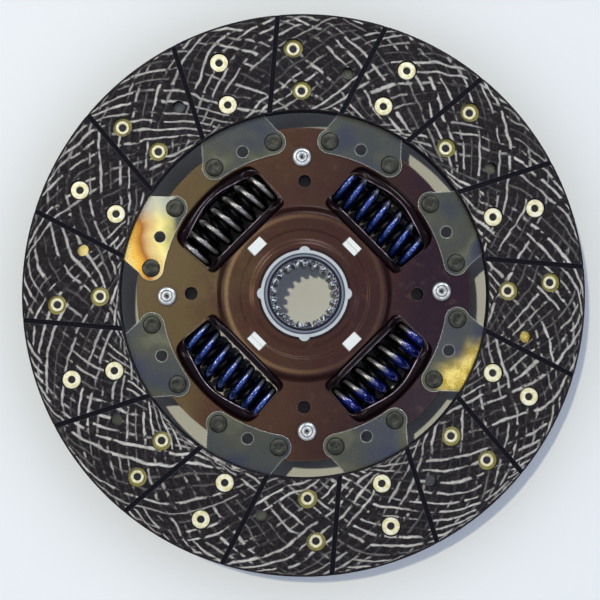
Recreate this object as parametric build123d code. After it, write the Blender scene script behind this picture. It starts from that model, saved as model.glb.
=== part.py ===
from build123d import *

import os
from math import cos, radians, sin, tan

# Clutch disc, 260 mm, with a sprung hub. Millimetres. The disc's axis is Z. The rear end of
# the hub, which faces the gearbox, is at z = 0, and the flywheel side is up.

# --- friction facings
facing_od = 260.0
facing_id = 170.0
facing_thick = 3.6
groove_count = 16
groove_width = 2.8
groove_depth = 1.0
groove_outer_angle = 4.45  # where the first groove leaves the outer edge, degrees
groove_inner_angle = 9.95  # where the same groove meets the inner edge
facing_flip_angle = 10.45  # the rear facing is the front one turned over about this line
facing_edge = 0.6

# --- cushion plates, thin sprung steel between the facings
cushion_count = 8
cushion_sheet = 0.8
cushion_wave = 0.6  # height between the low and the high crest
crest_clear = 0.02  # between a crest and the facing that it carries
wave_half_period = 19.3  # degrees from a low crest to the next high one
wave_crest_angle = -2.5  # middle of the high crest, from the middle of the tab
wave_land = 8.0  # degrees over which a crest is flat
tab_angle = 22.5  # middle of the first tab
paddle_start = -27.0  # from the middle of the tab
paddle_end = 17.0
paddle_inset = 2.5  # the paddles stop this far inside the facing's outer edge
tab_rivet_r = 72.0
tab_rivet_angle = 12.0  # from the middle of the tab
tab_lobe_r = 5.8
tab_neck_angle = 11.0
tab_hole_d = 5.3
rivet_head_d = 8.4
rivet_head_high = 1.2

# --- drive plate and retaining plate
plate_thick = 2.3
drive_plate_r = 77.6
retaining_plate_r = 70.0
dish_outer_r = 41.5
dish_inner_r = 38.8
dish_high = 1.5
step_slope = 1.5
step_land = 3.0
step_deep = 0.6
collar_slope = 3.0
collar_land = 2.4  # width of the flat ring round the plate's bore
collar_high = 0.8
sight_hole_r = 52.5
sight_hole_d = 6.1
damper_offset = -1.2  # the damper's pattern lags the stop pins, so drive and coast travel differ

# --- spring windows
window_count = 4
spring_axis_r = 50.5  # from the disc's axis to the line of each spring
seat_half = 24.1  # half the length between the spring seats, on the spring's line
seat_flare = 5.0  # each seat leans outwards, degrees
window_inner = 36.3
window_shoulder = 55.3
window_apex = 62.7
inner_lip_half = 20.0
inner_lip_edge = 39.0
outer_lip_r = 65.1
outer_lip_angle = 24.3
lip_over_spring = 2.7  # the outer lips rise this far above the springs
inner_lip_high = 3.0
relief_r = 1.6

# --- damper springs
spring_od = 20.4
wire_d = 4.2
active_pitch = 7.45
closed_turns = 0.8
chords_per_turn = 8
wire_sides = 6

# --- hub
hub_long = 32.0
hub_r = 18.2
hub_chamfer = 1.3
flange_mid_z = 19.0
flange_thick = 7.0
flange_r = 69.0
flange_window_clear = 1.0  # round the spring, and the radius of the window's corners
spline_teeth = 21
spline_major_r = 14.9
spline_minor_r = 13.0
spline_space_root = 1.5  # width of a space at the major radius
spline_space_mouth = 2.6  # and at the minor radius
spline_phase = 10.4
mouth_step = 1.1  # the bore opens out at both ends by this much beyond the splines
mouth_deep = 1.3

# --- stop pins
pin_count = 4
pin_circle_r = 63.7
pin_body_r = 5.5
pin_shank_r = 3.4
pin_head_r = 4.45
pin_head_high = 1.7
pin_head_edge = 0.7
pin_notch_half = 8.15  # free turn of the hub on either side of a centred pin, degrees
pin_notch_clear = 0.6

# --- parts between the hub flange and the plates
side_gap = 3.5  # from the flange to the flat part of either plate
running_gap = 0.05
slip_gap = 0.3
bush_wall = 2.05
bush_proud = 0.9
ear_r = 2.7
ear_out = 1.4  # the ears reach this far into the plate
washer_clear = 3.9  # from the plate's bore to the washers' inner edge
washer_outer_r = 34.3
lug_r = 31.1
lug_wide = 7.8
lug_deep = 4.8
lug_slit = 0.4
thrust_thick = 1.0
cone_thick = 0.9

# --- heights that follow from the sizes above
flange_top = flange_mid_z + flange_thick / 2
plate_in = flange_top + side_gap
plate_out = plate_in + plate_thick
cushion_mid = plate_out + cushion_sheet / 2
facing_gap = cushion_sheet + cushion_wave + 2 * crest_clear
facing_low = cushion_mid + facing_gap / 2
facing_top = facing_low + facing_thick
centre_in = plate_in + dish_high
step_in = centre_in - step_deep
spring_r = (spring_od - wire_d) / 2
lip_high = spring_od / 2 + lip_over_spring - (plate_out - flange_mid_z)
seat_slope = tan(radians(seat_flare))
far = 2 * facing_od

# --- radii about the hub that follow from the sizes above
bush_outer_r = hub_r + running_gap + bush_wall
plate_bore_r = bush_outer_r + slip_gap
ear_reach = plate_bore_r + ear_out
collar_inner_r = plate_bore_r + collar_land
collar_outer_r = collar_inner_r + collar_slope
step_inner_r = collar_outer_r + step_land
step_outer_r = step_inner_r + step_slope
washer_inner_r = plate_bore_r + washer_clear


def polar(radius, angle):
    return (radius * cos(radians(angle)), radius * sin(radians(angle)))


def ring(outer, inner, thick):
    """A flat ring that stands on z = 0."""
    return extrude(Circle(outer) - Circle(inner), thick)


def wedge(start, end):
    """A flat slice of pie, wider than the disc, between two angles."""
    corners = [(0, 0), polar(far, start), polar(far, (start + end) / 2), polar(far, end)]
    return make_face(Polyline(*corners, close=True))


def around(count, part, first=0.0):
    """Equally spaced copies of a part about the disc's axis."""
    return [Rot(0, 0, first + 360 / count * k) * part for k in range(count)]


# ---------------------------------------------------------------- facings


def groove_cutter():
    """One straight groove, which leans away from the radius."""
    outside = Vector(*polar(facing_od / 2, groove_outer_angle))
    inside = Vector(*polar(facing_id / 2, groove_inner_angle))
    run = outside - inside
    middle = (outside + inside) / 2
    lean = Vector(1, 0, 0).get_signed_angle(run, Vector(0, 0, 1))
    bar = Box(run.length * 1.3, groove_width, 2 * groove_depth)
    return Pos(middle.X, middle.Y, facing_thick) * Rot(0, 0, lean) * bar


def front_facing():
    plain = ring(facing_od / 2, facing_id / 2, facing_thick)
    outer_edge = plain.edges().group_by(Axis.Z)[-1].sort_by(SortBy.LENGTH)[-1]
    plain = chamfer(outer_edge, facing_edge)
    return Pos(0, 0, facing_low) * (plain - around(groove_count, groove_cutter()))


def rear_facing(front):
    """The same facing turned over, so its grooves face the pressure plate."""
    along = (*polar(1, facing_flip_angle), 0)
    return front.rotate(Axis((0, 0, cushion_mid), along), 180)


# ---------------------------------------------------------------- cushion plates


def waved_slab():
    """A slab of the sheet's thickness, bent across the paddles: flat crests joined by ramps."""
    start, end = paddle_start - 1, paddle_end + 1
    middle = (start + end) / 2
    bends = [
        (start, -1),
        (wave_crest_angle - wave_half_period + wave_land / 2, -1),
        (wave_crest_angle - wave_land / 2, 1),
        (wave_crest_angle + wave_land / 2, 1),
        (wave_crest_angle + wave_half_period - wave_land / 2, -1),
        (end, -1),
    ]
    middle_r = (facing_od + facing_id) / 4
    reach = facing_od * tan(radians(end - middle))
    low = []
    for angle, side in bends:
        height = cushion_mid - cushion_sheet / 2 + side * cushion_wave / 2
        low.append((middle_r * tan(radians(angle - middle)), height))
    low = [(-reach, low[0][1]), *low[1:-1], (reach, low[-1][1])]
    high = [(x, z + cushion_sheet) for x, z in reversed(low)]
    section = make_face(Polyline(*low, *high, close=True))
    across = Plane((0, 0, 0), x_dir=(0, 1, 0), z_dir=(1, 0, 0))
    return Rot(0, 0, middle) * extrude(across * section, far)


def tab_outline():
    """A tab with two lobes, and a neck that reaches the paddle."""
    lobes = [Rot(0, 0, s * tab_rivet_angle) * Pos(tab_rivet_r, 0) * Circle(tab_lobe_r) for s in (-1, 1)]
    band = Circle(tab_rivet_r + tab_lobe_r) - Circle(tab_rivet_r - tab_lobe_r)
    band = band & wedge(-tab_rivet_angle, tab_rivet_angle)
    lobe_side = tab_rivet_angle + 4.4
    right = [
        polar(tab_rivet_r + 1.0, -lobe_side),
        polar(facing_id / 2 - 0.5, -tab_neck_angle),
        polar(facing_id / 2 + 4, -tab_neck_angle),
    ]
    left = [(x, -y) for x, y in reversed(right)]
    neck = make_face(Polyline(*right, *left, close=True))
    hole = Pos(tab_rivet_r, 0) * Circle(tab_hole_d / 2)
    return band + lobes + neck - hole


def paddle_outline():
    """The part between the facings."""
    paddle = Circle(facing_od / 2 - paddle_inset) - Circle(facing_id / 2 + 1.5)
    return paddle & wedge(paddle_start, paddle_end)


def cushion_plate():
    """A flat tab and a waved paddle in one sheet."""
    tab = Pos(0, 0, plate_out) * extrude(tab_outline(), cushion_sheet)
    return tab + (waved_slab() & extrude(paddle_outline(), far))


def tab_rivet():
    head = Pos(0, 0, plate_out + cushion_sheet) * extrude(Circle(rivet_head_d / 2), rivet_head_high)
    return Pos(tab_rivet_r, 0, 0) * head


def cushion_plate_rivets():
    pair = [Rot(0, 0, s * tab_rivet_angle) * tab_rivet() for s in (-1, 1)]
    return Compound([r for one in pair for r in around(cushion_count, one, tab_angle)])


# ---------------------------------------------------------------- spring windows


def seat_at(x):
    """Half width of a window at a distance x from the disc's axis."""
    return seat_half + (x - spring_axis_r) * seat_slope


def mirrored_outline(half):
    """A closed outline from the points on one side of the window's centre line."""
    return Polyline(*half, *[(x, -y) for x, y in reversed(half) if y], close=True)


def window_opening():
    """The hole seen from above: reliefs beside the inner lip, leaning seats and a gabled top."""
    half = [
        (inner_lip_edge, inner_lip_half),
        (window_inner, inner_lip_half + 0.3),
        (window_inner, seat_at(window_inner)),
        (window_shoulder, seat_at(window_shoulder)),
        (window_apex, 0),
    ]
    face = make_face(mirrored_outline(half))
    apex = face.vertices().sort_by(Axis.X)[-1]
    face = fillet(apex, 16)
    shoulders = [v for v in face.vertices() if abs(v.X - window_shoulder) < 0.01]
    face = fillet(shoulders, 1.5)
    reliefs = [Pos(spring_axis_r, s * seat_half) * Circle(relief_r) for s in (-1, 1)]
    return face + reliefs


def window_throat():
    """What is taken out of the flat plate, up to the roots of both lips."""
    half = [(window_inner, seat_at(window_inner)), (far, seat_at(far))]
    reach = outer_lip_r - 0.8
    reliefs = [Pos(spring_axis_r, s * seat_half) * Circle(relief_r) for s in (-1, 1)]
    return (make_face(mirrored_outline(half)) & Circle(reach)) + reliefs


def outer_lip():
    """Curls up and over the spring; turned about the disc's axis."""
    rise = [(0.0, 0.0), (1.4, 0.55), (4.2, 0.88), (9.5, 1.0)]
    top = [(outer_lip_r - inward, plate_out + lip_high * part) for inward, part in rise]
    under = [(r - 0.3 * plate_thick, z - plate_thick) for r, z in reversed(top[:-1])]
    inner = top[-1][0]
    root = outer_lip_r + 0.7
    end = [(inner, top[-1][1] - plate_thick)]
    section = [(root, plate_out), *top, *end, *under, (root, plate_in)]
    turned = revolve(Plane.XZ * make_face(Polyline(*section, close=True)), Axis.Z, 360)
    plan = (Circle(root) - Circle(inner)) & wedge(-outer_lip_angle, outer_lip_angle)
    return turned & extrude(plan, far)


def inner_lip():
    """A straight strip folded up from the plate beside the spring."""
    root = inner_lip_edge - inner_lip_high - 0.1
    section = [
        (root - 1.0, plate_in),
        (root + 1.0, plate_in),
        (inner_lip_edge + 1.5, plate_out + inner_lip_high - 1.6),
        (inner_lip_edge - 0.1, plate_out + inner_lip_high),
        (root, plate_out),
        (root - 1.0, plate_out),
    ]
    face = make_face(Polyline(*section, close=True))
    strip = extrude(Plane.XZ * face, inner_lip_half, both=True)
    return strip


def window_lips():
    through = extrude(window_opening(), far)
    return outer_lip() - through + inner_lip()


# ---------------------------------------------------------------- plates


def dished_sheet(outer_r):
    """Section of the plate turned about the axis: flat rim, raised centre, step and collar."""
    collar = dish_high - step_deep + collar_high
    profile = [
        (plate_bore_r, collar),
        (collar_inner_r, collar),
        (collar_outer_r, dish_high - step_deep),
        (step_inner_r, dish_high - step_deep),
        (step_outer_r, dish_high),
        (dish_inner_r, dish_high),
        (dish_outer_r, 0),
        (outer_r, 0),
    ]
    top = [(r, plate_out + z) for r, z in profile]
    low = [(r, plate_in + z) for r, z in reversed(profile)]
    return revolve(Plane.XZ * make_face(Polyline(*top, *low, close=True)), Axis.Z, 360)


def centre_cuts():
    """Notches for the bush's ears, slots for the washer's lugs, and the small round holes."""
    notch = Pos(ear_reach - ear_r, 0) * Circle(ear_r + slip_gap)
    slot = Pos(lug_r, 0) * Rectangle(lug_deep + 1.2, lug_wide + 0.8)
    hole = Pos(sight_hole_r, 0) * Circle(sight_hole_d / 2)
    cuts = around(4, notch, damper_offset) + around(4, hole, damper_offset)
    return cuts + around(4, slot, 45 + damper_offset)


def side_plate(outer_r):
    first = 45 + damper_offset
    cuts = centre_cuts() + around(window_count, window_throat(), first)
    cuts += around(pin_count, Pos(pin_circle_r, 0) * Circle(pin_shank_r + running_gap))
    plate = dished_sheet(outer_r) - [extrude(c, far) for c in cuts]
    return plate + around(window_count, window_lips(), first)


def drive_plate():
    """The plate that carries the tabs, with a hole under each tab's own hole."""
    hole = Pos(tab_rivet_r, 0) * Circle(tab_hole_d / 2)
    holes = [extrude(h, far) for h in around(cushion_count, hole, tab_angle)]
    return side_plate(drive_plate_r) - holes


def other_side(part):
    """The same form on the gearbox side of the hub's flange."""
    return mirror(part, Plane((0, 0, flange_mid_z)))


# ---------------------------------------------------------------- hub


def spline_space():
    mouth, root = spline_space_mouth / 2, spline_space_root / 2
    depth = spline_minor_r - 0.5
    points = [(depth, -mouth), (spline_major_r, -root), (spline_major_r, root), (depth, mouth)]
    return make_face(Polyline(*points, close=True))


def hub_bore():
    spaces = around(spline_teeth, spline_space(), spline_phase)
    bore = extrude(Circle(spline_minor_r) + spaces, hub_long)
    mouth = extrude(Circle(spline_major_r + mouth_step), mouth_deep)
    return bore + mouth + Pos(0, 0, hub_long - mouth_deep) * mouth


def flange_window():
    """Open under the whole spring, with the same leaning seats as the plates."""
    reach = spring_od / 2 + flange_window_clear
    low, high = spring_axis_r - reach, spring_axis_r + reach
    half = [(low, seat_at(low)), (high, seat_at(high))]
    return fillet(make_face(mirrored_outline(half)).vertices(), flange_window_clear)


def pin_notch():
    """An open notch at the flange's edge, in which a stop pin has its free travel."""
    reach = pin_circle_r * sin(radians(pin_notch_half)) + pin_body_r
    floor = pin_circle_r - pin_body_r - pin_notch_clear
    sides = Pos((floor + far) / 2, 0) * Rectangle(far - floor, 2 * reach)
    return fillet(sides.vertices().sort_by(Axis.X)[:2], 3)


def hub_flange():
    plate = Circle(flange_r)
    plate -= around(window_count, flange_window(), 45 + damper_offset)
    plate -= around(pin_count, pin_notch(), damper_offset)
    return Pos(0, 0, flange_mid_z - flange_thick / 2) * extrude(plate, flange_thick)


def hub():
    barrel = extrude(Circle(hub_r), hub_long)
    barrel = chamfer(barrel.edges().filter_by(GeomType.CIRCLE), hub_chamfer)
    return barrel + hub_flange() - hub_bore()


# ---------------------------------------------------------------- damper parts


def spring_path():
    """Chords of a helix along Z: closed turns at both ends and open ones between."""
    closed = closed_turns * (wire_d + 0.1)
    length = 2 * seat_half
    ends = wire_d / 10
    active = length - 2 * closed - 2 * ends
    open_turns = round(4 * active / active_pitch) / 4
    turns = open_turns + 2 * closed_turns
    count = round(turns * chords_per_turn)
    points = []
    for k in range(count + 1):
        turn = turns * k / count
        rise = closed / closed_turns * min(turn, closed_turns)
        rise += active / open_turns * min(max(turn - closed_turns, 0), open_turns)
        rise += closed / closed_turns * max(turn - closed_turns - open_turns, 0)
        points.append((*polar(spring_r, 360 * turn), ends + rise))
    return Polyline(*points)


def damper_spring():
    """A right-hand compression spring whose ends are ground to the leaning seats."""
    path = spring_path()
    start = Plane(path @ 0, z_dir=path % 0)
    wire = sweep(start * RegularPolygon(wire_d / 2, wire_sides), path, transition=Transition.RIGHT)
    laid = Pos(spring_axis_r, seat_half, flange_mid_z) * Rot(90, 0, 0) * wire
    low, high = spring_axis_r - spring_od, spring_axis_r + spring_od
    between = make_face(mirrored_outline([(low, seat_at(low)), (high, seat_at(high))]))
    return laid & (Pos(0, 0, -far / 2) * extrude(between, far))


def stop_pin():
    """A shouldered pin that spaces the plates apart, riveted over at both ends."""
    half = flange_thick / 2 + side_gap
    over = half + plate_thick
    top = over + pin_head_high
    upper = [
        (0, top),
        (pin_head_r - pin_head_edge, top),
        (pin_head_r, top - pin_head_edge),
        (pin_head_r, over),
        (pin_shank_r, over),
        (pin_shank_r, half),
        (pin_body_r, half),
    ]
    lower = [(r, -z) for r, z in reversed(upper)]
    outline = Polyline(*upper, *lower, close=True)
    turned = revolve(Plane.XZ * make_face(outline), Axis.Z, 360)
    return Pos(pin_circle_r, 0, flange_mid_z) * turned


def stop_pins():
    return Compound(around(pin_count, stop_pin()))


def hub_bush():
    """A plastic sleeve between the barrel and the plate's bore, keyed by four round ears."""
    inner = hub_r + running_gap
    top = centre_in - step_deep + collar_high + plate_thick + bush_proud
    low = top - plate_thick - bush_proud - 0.3
    sleeve = Pos(0, 0, flange_top) * ring(bush_outer_r, inner, top - flange_top)
    ear = Pos(ear_reach - ear_r, 0) * Circle(ear_r)
    ears = [e - Circle(inner + 0.2) for e in around(4, ear, damper_offset)]
    return sleeve + [Pos(0, 0, low) * extrude(e, top - low) for e in ears]


def friction_washer(split_lugs):
    """A ring on the flange's face, driven by lugs that pass through the plate's slots."""
    body = Pos(0, 0, flange_top) * ring(washer_outer_r, washer_inner_r, step_in - flange_top - 0.1)
    lug_top = centre_in + plate_thick + 0.2
    lug = Pos(lug_r, 0, flange_top) * extrude(Rectangle(lug_deep, lug_wide), lug_top - flange_top)
    slit = Pos(lug_r, 0, lug_top) * Box(lug_slit, far / 10, 1.6)
    lugs = around(4, lug, 45 + damper_offset)
    washer = body + lugs
    if split_lugs:
        washer -= around(2, slit, 45 + damper_offset)
    return washer


def thrust_plate():
    """A steel ring behind the rear friction lining."""
    return Pos(0, 0, flange_top + side_gap / 2) * ring(washer_outer_r, washer_inner_r, thrust_thick)


def rear_lining():
    """The friction ring between the flange and the thrust plate."""
    return Pos(0, 0, flange_top) * ring(washer_outer_r, washer_inner_r, side_gap / 2)


def cone_spring():
    """A conical steel washer that presses the friction stack against the flange."""
    low = flange_top + side_gap / 2 + thrust_thick
    high = step_in
    section = [
        (washer_inner_r + 0.5, high - cone_thick),
        (washer_inner_r + 0.5, high),
        (washer_outer_r - 1.5, low + cone_thick),
        (washer_outer_r - 1.5, low),
    ]
    return revolve(Plane.XZ * make_face(Polyline(*section, close=True)), Axis.Z, 360)


# ---------------------------------------------------------------- assembly


def nodes():
    first_window = 45 + damper_offset
    front = front_facing()
    parts = {"front_facing": front, "rear_facing": rear_facing(front)}
    for k, plate in enumerate(around(cushion_count, cushion_plate(), tab_angle), 1):
        parts[f"cushion_plate_{k}"] = plate
    parts["cushion_plate_rivets"] = cushion_plate_rivets()
    parts["drive_plate"] = drive_plate()
    parts["retaining_plate"] = other_side(side_plate(retaining_plate_r))
    for k, spring in enumerate(around(window_count, damper_spring(), first_window), 1):
        parts[f"damper_spring_{k}"] = spring
    parts["stop_pins"] = stop_pins()
    parts["hub"] = hub()
    parts["front_hub_bush"] = hub_bush()
    parts["rear_hub_bush"] = other_side(hub_bush())
    parts["front_friction_washer"] = friction_washer(True)
    parts["rear_friction_washer"] = other_side(rear_lining())
    parts["thrust_plate"] = other_side(thrust_plate())
    parts["cone_spring"] = other_side(cone_spring())
    return parts


os.makedirs("parts", exist_ok=True)
for name, shape in nodes().items():
    export_step(shape, f"parts/{name}.step")
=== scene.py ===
import math

import bmesh
import bpy
from mathutils import Matrix, Vector

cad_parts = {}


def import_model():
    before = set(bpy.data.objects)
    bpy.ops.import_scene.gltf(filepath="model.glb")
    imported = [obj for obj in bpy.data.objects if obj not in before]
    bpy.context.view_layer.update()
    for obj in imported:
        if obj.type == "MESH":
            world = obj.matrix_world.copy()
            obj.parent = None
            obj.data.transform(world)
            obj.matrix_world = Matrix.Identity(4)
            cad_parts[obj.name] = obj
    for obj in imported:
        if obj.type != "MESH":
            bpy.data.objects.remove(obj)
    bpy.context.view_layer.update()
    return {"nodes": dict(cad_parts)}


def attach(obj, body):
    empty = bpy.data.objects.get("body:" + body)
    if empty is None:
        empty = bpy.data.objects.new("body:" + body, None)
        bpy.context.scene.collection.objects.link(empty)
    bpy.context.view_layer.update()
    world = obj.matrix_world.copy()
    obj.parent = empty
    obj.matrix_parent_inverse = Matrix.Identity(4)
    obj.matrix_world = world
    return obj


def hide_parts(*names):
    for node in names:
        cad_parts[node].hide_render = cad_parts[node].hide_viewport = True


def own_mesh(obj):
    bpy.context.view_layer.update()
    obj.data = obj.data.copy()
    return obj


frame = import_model()

# Millimetres in the frame's own axes; meshes are scaled to metres when they are made.
MM = 0.001

# Heights.
FACING_LOW, FACING_TOP, MID = 29.42, 33.02, 28.7  # front facing, and halfway between the two
FLANGE_MID, PLATE_IN, PLATE_OUT = 19.0, 26.0, 28.3
PLATE_SHEET = 2.3
SHEET_TOP = 29.1  # of the cushion plates' tabs
HEAD_FLOOR = 30.62  # where the facing rivets' flanges sit
CUT_LOW, CUT_HIGH = 20, 40  # tools that cut from the front reach past the piece both ways

# Radii, and angles in degrees.
FACING_IN, FACING_OUT = 85, 130
PIN_R = 63.7
TAB_RIVET_R, FIRST_TAB = 72.0, 22.5
HEADS = [(114.2, 19.3), (94.5, 21.1)]  # facing rivets with the head in front
TAILS = [(114.2, 1.6), (94.5, -0.2)]  # and those with the head behind
LOCATING = (104.2, 32.95)
EIGHTHS = [45 * k for k in range(8)]
DAMPER_LAG = 1.2  # the springs sit this far behind the stop pins
QUARTERS = [45 - DAMPER_LAG + 90 * k for k in range(4)]
DISH_OUT, DISH_IN = 41.4, 37.6  # the slope pressed into both plates

# Springs and their leaning seats.
SEAT_HALF, SEAT_SLOPE, SPRING_AXIS = 24.1, math.tan(math.radians(5.0)), 50.5


# ---------------------------------------------------------------- shader building


class Sock:
    """A node output that takes part in sums."""

    def __init__(self, tree, out):
        self.tree, self.out = tree, out

    def math(self, op, *others):
        n = self.tree.nodes.new("ShaderNodeMath")
        n.operation = op
        for slot, v in zip(n.inputs, (self, *others)):
            put(self.tree, slot, v)
        return Sock(self.tree, n.outputs[0])

    def __add__(self, v):
        return self.math("ADD", v)

    def __sub__(self, v):
        return self.math("SUBTRACT", v)

    def __mul__(self, v):
        return self.math("MULTIPLY", v)

    def __truediv__(self, v):
        return self.math("DIVIDE", v)

    def over(self, v):
        return self.math("GREATER_THAN", v)

    def step(self, low, high):
        """0 below low, 1 above high, smooth between."""
        n = self.tree.nodes.new("ShaderNodeMapRange")
        n.interpolation_type = "SMOOTHSTEP"
        put(self.tree, n.inputs["Value"], self)
        put(self.tree, n.inputs["From Min"], low)
        put(self.tree, n.inputs["From Max"], high)
        return Sock(self.tree, n.outputs["Result"])


def put(tree, slot, v):
    """Links a socket, or sets a number or colour."""
    if isinstance(v, Sock):
        tree.links.new(v.out, slot)
    elif isinstance(v, tuple) and len(v) == 3 and slot.type == "RGBA":
        slot.default_value = (*v, 1)
    else:
        slot.default_value = v


def linear(c):
    """One sRGB channel, 0 to 255, as linear light."""
    return ((c / 255 + 0.055) / 1.055) ** 2.4 if c > 10 else c / 255 / 12.92


def rgb(r, g, b):
    """A colour written as it should look, 0 to 255, as the shader needs it."""
    return tuple(linear(c) for c in (r, g, b))


def length(a, b):
    return (a * a + b * b).math("SQRT")


MIX_A, MIX_B, MIX_COLOUR = 6, 7, 2  # the colour sockets of ShaderNodeMix
BEVEL_SAMPLES = 4


class Finish:
    """A material with one Principled shader."""

    def __init__(self, name, **sockets):
        self.mat = bpy.data.materials.new(name)
        self.mat.use_nodes = True
        self.tree = self.mat.node_tree
        self.shader = self.tree.nodes["Principled BSDF"]
        self.set(**sockets)

    def set(self, **sockets):
        for key, v in sockets.items():
            put(self.tree, self.shader.inputs[key.replace("_", " ").title().replace("Ior", "IOR")], v)

    def node(self, kind, **ins):
        n = self.tree.nodes.new(kind)
        for key, v in ins.items():
            put(self.tree, n.inputs[key.replace("_", " ").title()], v)
        return n

    def place(self):
        """Where the point is on the piece, in millimetres."""
        at = self.node("ShaderNodeTexCoord").outputs["Object"]
        n = self.node("ShaderNodeVectorMath")
        n.operation = "SCALE"
        self.tree.links.new(at, n.inputs[0])
        n.inputs["Scale"].default_value = 1000.0
        return Sock(self.tree, n.outputs[0])

    def xyz(self, at):
        n = self.node("ShaderNodeSeparateXYZ")
        put(self.tree, n.inputs[0], at)
        return [Sock(self.tree, o) for o in n.outputs]

    def noise(self, at, size, detail=2.0, rough=0.5, distort=0.0, colour=False):
        """Noise whose blobs are about size millimetres."""
        n = self.node("ShaderNodeTexNoise", vector=at, scale=1 / size, detail=detail, roughness=rough)
        n.inputs["Distortion"].default_value = distort
        return Sock(self.tree, n.outputs["Color" if colour else "Fac"])

    def random(self, a, b):
        """One random number for each whole pair."""
        c = self.node("ShaderNodeCombineXYZ", x=a, y=b)
        n = self.node("ShaderNodeTexWhiteNoise", vector=Sock(self.tree, c.outputs[0]))
        return Sock(self.tree, n.outputs["Value"])

    def ramp(self, value, *stops):
        n = self.node("ShaderNodeValToRGB", fac=value)
        e = n.color_ramp.elements
        while len(e) < len(stops):
            e.new(0.5)
        for one, (at, colour) in zip(e, stops):
            one.position, one.color = at, (*colour, 1)
        return Sock(self.tree, n.outputs["Color"])

    def mix(self, value, a, b):
        n = self.node("ShaderNodeMix")
        n.data_type = "RGBA"
        put(self.tree, n.inputs["Factor"], value)
        put(self.tree, n.inputs[MIX_A], a)
        put(self.tree, n.inputs[MIX_B], b)
        return Sock(self.tree, n.outputs[MIX_COLOUR])

    def rounding(self, radius):
        """The normal as it would be with the piece's edges rounded."""
        n = self.node("ShaderNodeBevel", radius=radius * MM)
        n.samples = BEVEL_SAMPLES
        return n.outputs[0]

    def bump(self, height, deep, soft_edges=0.0):
        """Height 0 to 1 stands for deep millimetres."""
        n = self.node("ShaderNodeBump", height=height, distance=deep * MM, strength=1.0)
        if soft_edges:
            self.tree.links.new(self.rounding(soft_edges), n.inputs["Normal"])
        self.tree.links.new(n.outputs[0], self.shader.inputs["Normal"])

    def edges(self, radius):
        """Near 1 along the piece's sharp edges."""
        g = self.node("ShaderNodeNewGeometry")
        d = self.node("ShaderNodeVectorMath")
        d.operation = "DOT_PRODUCT"
        self.tree.links.new(self.rounding(radius), d.inputs[0])
        self.tree.links.new(g.outputs["Normal"], d.inputs[1])
        return (Sock(self.tree, d.outputs["Value"]) * -1.0 + 1.0).step(0.01, 0.12)


def facing_finish():
    """Resin-bonded yarn wound in lobes, cut flush by grinding."""
    f = Finish("facing_yarn", roughness=0.75, specular_ior_level=0.15)
    at = f.place()
    x, y, z = f.xyz(at)
    rim_r = length(x, y)
    for size, reach in ((46, 13.0), (13, 3.6), (3, 0.7)):
        sway_x, sway_y, _ = f.xyz(f.noise(at, size, 1, 0.5, colour=True))
        x = x + (sway_x - 0.5) * reach
        y = y + (sway_y - 0.5) * reach
    r = length(x, y)
    turn = y.math("ARCTAN2", x)
    lobes, per_lobe = 3.5, 24
    middle, half = 107.5, 22.8  # of the wound ring, which is a little wider than the facing
    u = ((r - middle) / half).math("MAXIMUM", -0.999).math("MINIMUM", 0.999)
    lean = u.math("ARCSINE")
    scale = per_lobe / (2 * math.pi)
    steep = (u * u * -1.0 + 1.12) * (half * half)
    slope = (r * r).math("POWER", -1.0) * lobes**2 + steep.math("POWER", -1.0)
    density = slope.math("SQRT") * scale
    wide = f.noise(at, 3.6, 3, 0.6).step(0.2, 0.8) * 0.46 + 0.24
    strands, glow, cells = [], [], []
    for side in (-1.0, 1.0):
        p = (turn * lobes + lean * side) * scale
        row = p.math("FLOOR").math("FLOORED_MODULO", per_lobe * lobes)
        off = (p.math("FRACT") - 0.5).math("ABSOLUTE") / density
        luck = f.random(row, side * 7)
        strands.append((wide + (luck - 0.5) * 0.22 - off).step(-0.3, 0.34))
        glow.append(luck.step(0.1, 0.5) * 0.7 + luck * 0.15 + 0.15)
        cells.append((row / 3.0).math("FLOOR"))
    pick = f.random(cells[0], cells[1]).over(0.5)
    other = pick * -1.0 + 1.0
    gaps = f.noise(at, 7, 2, 0.5).step(0.37, 0.44)
    top = (strands[0] * glow[0] * pick + strands[1] * glow[1] * other) * gaps
    under = strands[1] * glow[1] * pick + strands[0] * glow[0] * other
    peek = f.noise(at, 4.5, 2, 0.5).step(0.5, 0.62) * 0.6 + 0.05
    light = top.math("MAXIMUM", under * peek)
    face = (z - MID).math("ABSOLUTE").step(FACING_TOP - MID - 0.25, FACING_TOP - MID - 0.05)
    rim = rim_r.step(129.3, 128.7) * rim_r.step(85.3, 86.0)
    light = light * face * rim
    fibre = f.noise(at, 0.55, 3, 0.75)
    mottle = f.noise(at, 24, 3, 0.6)
    patch = f.noise(at, 2.6, 2, 0.6)
    shade = light * (fibre * 1.3 + 0.25) * (mottle * 0.8 + 0.5) * (patch * 1.1 + 0.5)
    dark = f.mix(fibre.step(0.25, 0.75), rgb(2, 2, 5), rgb(46, 40, 43))
    clump = f.noise(at, 1.7, 3, 0.7)
    dark = f.mix(clump.step(0.52, 0.7) * 0.5, dark, rgb(76, 70, 72))
    dark = f.mix(clump.step(0.46, 0.34) * 0.6, dark, rgb(6, 5, 9))
    # off the ground face the colour is darker still: the sides carry no yarn, and the grooves and holes get
    # painted shade
    dark = f.mix(face, f.mix(fibre, rgb(3, 3, 7), rgb(22, 20, 28)), dark)
    # painted highlight: bluish light lines along the facing's and the grooves' edges
    dark = f.mix(f.edges(0.45) * (face * -0.5 + 1.0), dark, rgb(76, 76, 94))
    pale = f.mix(f.noise(at, 6, 3), rgb(150, 146, 140), rgb(226, 222, 216))
    f.set(base_color=f.mix(shade.math("MINIMUM", 1.0), dark, pale))
    f.set(roughness=light * -0.15 + 0.78)
    f.bump(light * 0.7 + fibre * 0.3, 0.12)
    return f.mat


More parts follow.
